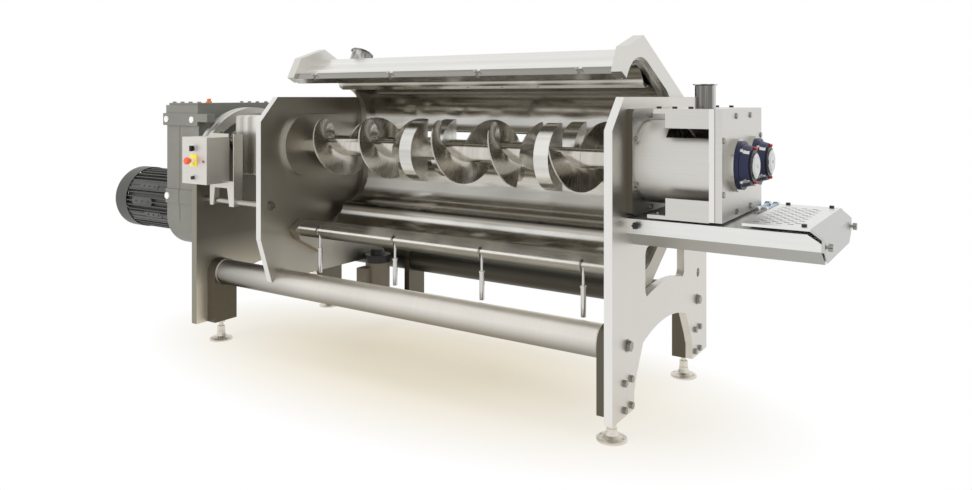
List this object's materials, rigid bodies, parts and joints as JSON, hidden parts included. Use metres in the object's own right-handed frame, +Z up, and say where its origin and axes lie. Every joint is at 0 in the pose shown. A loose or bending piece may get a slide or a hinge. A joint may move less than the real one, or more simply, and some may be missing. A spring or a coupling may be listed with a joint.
{
  "type": "continuous mixer",
  "caption": "Twin screw continuous mixer with a clamshell jacketed barrel swung open, flanged motor and gear unit, discharge tray and control box on a leg frame.",
  "frame": {"origin": "floor level midway between the four feet", "axes": "+X towards the discharge end, +Y away from the operator, +Z up"},
  "size_m": [4.187, 1.248, 1.5562],
  "materials": {
    "plate_steel": "satin",
    "tube_steel": "satin",
    "foot_steel": "satin",
    "pack_paint": "satin",
    "gear_paint": "satin",
    "plug_white": "matte",
    "motor_paint": "satin",
    "rotor_steel": "satin",
    "body_steel": "satin",
    "bearing_blue": "gloss",
    "ring_black": "matte",
    "cap_white": "gloss",
    "tray_steel": "satin",
    "knob_black": "matte",
    "hose_blue": "matte",
    "fitting_chrome": "polished",
    "box_steel": "satin",
    "stop_yellow": "matte",
    "stop_red": "gloss",
    "shaft_steel": "polished",
    "flight_steel": "polished",
    "shell_steel": "satin",
    "clamp_steel": "polished"
  },
  "bodies": {
    "frame": {"drive_leg_plate": "plate_steel", "barrel_plate": "plate_steel", "discharge_plate": "plate_steel", "leg_blocks": "plate_steel", "front_tube": "tube_steel", "rear_tube": "tube_steel", "tie_bars": "tube_steel", "foot_pads": "foot_steel", "foot_nuts": "foot_steel", "frame_bolts": "tube_steel", "tube_bracket": "plate_steel", "power_pack": "pack_paint", "hinge_rod": "tube_steel", "gearbox_housing": "gear_paint", "gearbox_cover": "gear_paint", "gearbox_fittings": "plug_white", "motor_housing": "motor_paint", "motor_cowl": "motor_paint", "adaptor_ring": "body_steel", "lantern_housing": "body_steel", "barrel_spigots": "body_steel", "discharge_flange": "body_steel", "discharge_barrel": "body_steel", "discharge_end_plates": "body_steel", "discharge_top_plate": "body_steel", "discharge_outlet": "body_steel", "bearing_adaptors": "body_steel", "bearing_housings": "bearing_blue", "bearing_rings": "ring_black", "bearing_covers": "cap_white", "tray": "tray_steel", "tray_cover": "tray_steel", "tray_knobs": "knob_black", "hoses": "hose_blue", "hose_fittings": "fitting_chrome", "control_box": "box_steel", "control_box_cover": "box_steel", "control_bracket": "box_steel", "estop_plate": "stop_yellow"},
    "front_screw": {"front_shaft": "shaft_steel", "front_flights": "flight_steel", "front_paddles": "flight_steel"},
    "rear_screw": {"rear_shaft": "shaft_steel", "rear_flights": "flight_steel", "rear_paddles": "flight_steel"},
    "motor_shaft": {"motor_rotor": "rotor_steel"},
    "lid": {"lid_liner": "shell_steel", "lid_jacket": "shell_steel", "lid_flanges": "shell_steel", "lid_ferrule": "shell_steel"},
    "trough": {"trough_liner": "shell_steel", "trough_jacket": "shell_steel", "trough_flanges": "shell_steel"},
    "stop_button": {"estop_button": "stop_red"},
    "push_button": {"start_button": "knob_black"},
    "selector": {"selector_knob": "knob_black"},
    "clamp_1": {"swing_bolt_1": "clamp_steel"},
    "clamp_2": {"swing_bolt_2": "clamp_steel"},
    "clamp_3": {"swing_bolt_3": "clamp_steel"},
    "clamp_4": {"swing_bolt_4": "clamp_steel"}
  },
  "joints": [
    {"name": "front_shaft_turn", "type": "hinge", "parent": "frame", "child": "front_screw", "pos_m": [0, -0.247, 1.05], "axis": [1, 0, 0], "continuous": true},
    {"name": "rear_shaft_turn", "type": "hinge", "parent": "frame", "child": "rear_screw", "pos_m": [0, -0.017, 1.05], "axis": [1, 0, 0], "continuous": true},
    {"name": "motor_turn", "type": "hinge", "parent": "frame", "child": "motor_shaft", "pos_m": [-1.9, -0.132, 0.667], "axis": [1, 0, 0], "continuous": true},
    {"name": "lid_hinge", "type": "hinge", "parent": "frame", "child": "lid", "pos_m": [0.252, 0.299, 1.05], "axis": [1, 0, 0], "range_deg": [0, 27.2]},
    {"name": "trough_hinge", "type": "hinge", "parent": "frame", "child": "trough", "pos_m": [0.252, 0.299, 1.05], "axis": [1, 0, 0], "range_deg": [-32.4, 0]},
    {"name": "estop_slide", "type": "slide", "parent": "frame", "child": "stop_button", "axis": [0, 1, 0], "range_m": [0, 0.005]},
    {"name": "start_slide", "type": "slide", "parent": "frame", "child": "push_button", "axis": [0, 1, 0], "range_m": [0, 0.004], "stiffness_N_per_m": 400},
    {"name": "selector_turn", "type": "hinge", "parent": "frame", "child": "selector", "pos_m": [-1.037, -0.65, 1.041], "axis": [0, 1, 0], "range_deg": [-45, 45]},
    {"name": "swing_bolt_1_turn", "type": "hinge", "parent": "trough", "child": "clamp_1", "pos_m": [-0.483, -0.32161, 0.63009], "axis": [1, 0, 0], "range_deg": [-148, 33]},
    {"name": "swing_bolt_2_turn", "type": "hinge", "parent": "trough", "child": "clamp_2", "pos_m": [0.003, -0.32161, 0.63009], "axis": [1, 0, 0], "range_deg": [-148, 33]},
    {"name": "swing_bolt_3_turn", "type": "hinge", "parent": "trough", "child": "clamp_3", "pos_m": [0.489, -0.32161, 0.63009], "axis": [1, 0, 0], "range_deg": [-148, 33]},
    {"name": "swing_bolt_4_turn", "type": "hinge", "parent": "trough", "child": "clamp_4", "pos_m": [0.975, -0.32161, 0.63009], "axis": [1, 0, 0], "range_deg": [-148, 33]}
  ],
  "couplings": [
    {"joint": "rear_shaft_turn", "follows": "front_shaft_turn", "ratio": -1},
    {"joint": "motor_turn", "follows": "front_shaft_turn", "ratio": 24.5}
  ]
}
